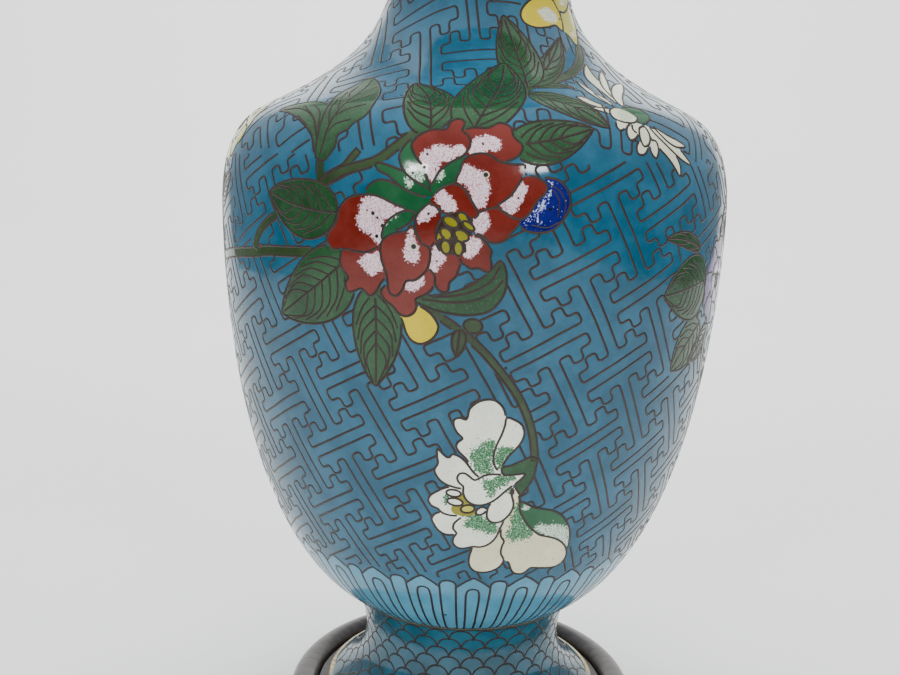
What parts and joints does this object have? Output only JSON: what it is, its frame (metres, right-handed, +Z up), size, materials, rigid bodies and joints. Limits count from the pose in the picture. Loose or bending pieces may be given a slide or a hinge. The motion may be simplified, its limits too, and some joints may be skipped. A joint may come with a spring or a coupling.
{
  "type": "cloisonne vase",
  "caption": "Baluster vase with flared foot, broad shoulder and slim trumpet neck, enamelled over a copper shell, standing in the recess of a round hardwood stand.",
  "frame": {"origin": "centre of the stand's underside, on the vase's axis", "axes": "+Z up along the vase's axis; -Y is the side with the red peony"},
  "size_m": [0.127, 0.127, 0.2717],
  "materials": {
    "hardwood": "dark stained and waxed",
    "recess_wood": "dark stained, matt",
    "copper": "raised sheet copper",
    "gilt": "worn gilt copper",
    "ring_wire": "dulled bronze wire",
    "turquoise_enamel": "polished glassy enamel",
    "pale_enamel": "polished glassy enamel",
    "scale_enamel": "polished glassy enamel",
    "counter_enamel": "thin uneven enamel"
  },
  "bodies": {
    "stand": {"stand_rim": "hardwood", "stand_panel": "recess_wood", "stand_base": "hardwood", "stand_foot_1": "hardwood", "stand_foot_2": "hardwood", "stand_foot_3": "hardwood", "stand_foot_4": "hardwood"},
    "vase": {"foot_rim": "gilt", "foot_enamel": "scale_enamel", "foot_shell": "copper", "foot_lining": "counter_enamel", "base_plate": "copper", "base_enamel": "counter_enamel", "floor_enamel": "counter_enamel", "joint_ring": "ring_wire", "lappet_enamel": "pale_enamel", "ground_enamel": "turquoise_enamel", "mouth_ring": "ring_wire", "mouth_enamel": "pale_enamel", "lip_ring": "gilt", "body_shell": "copper", "shoulder_shell": "copper", "neck_shell": "copper", "body_lining": "counter_enamel", "neck_lining": "counter_enamel"}
  },
  "joints": [
    {"name": "vase_lift", "type": "slide", "parent": "stand", "child": "vase", "axis": [0, 0, 1], "range_m": [0, 0.06]}
  ]
}
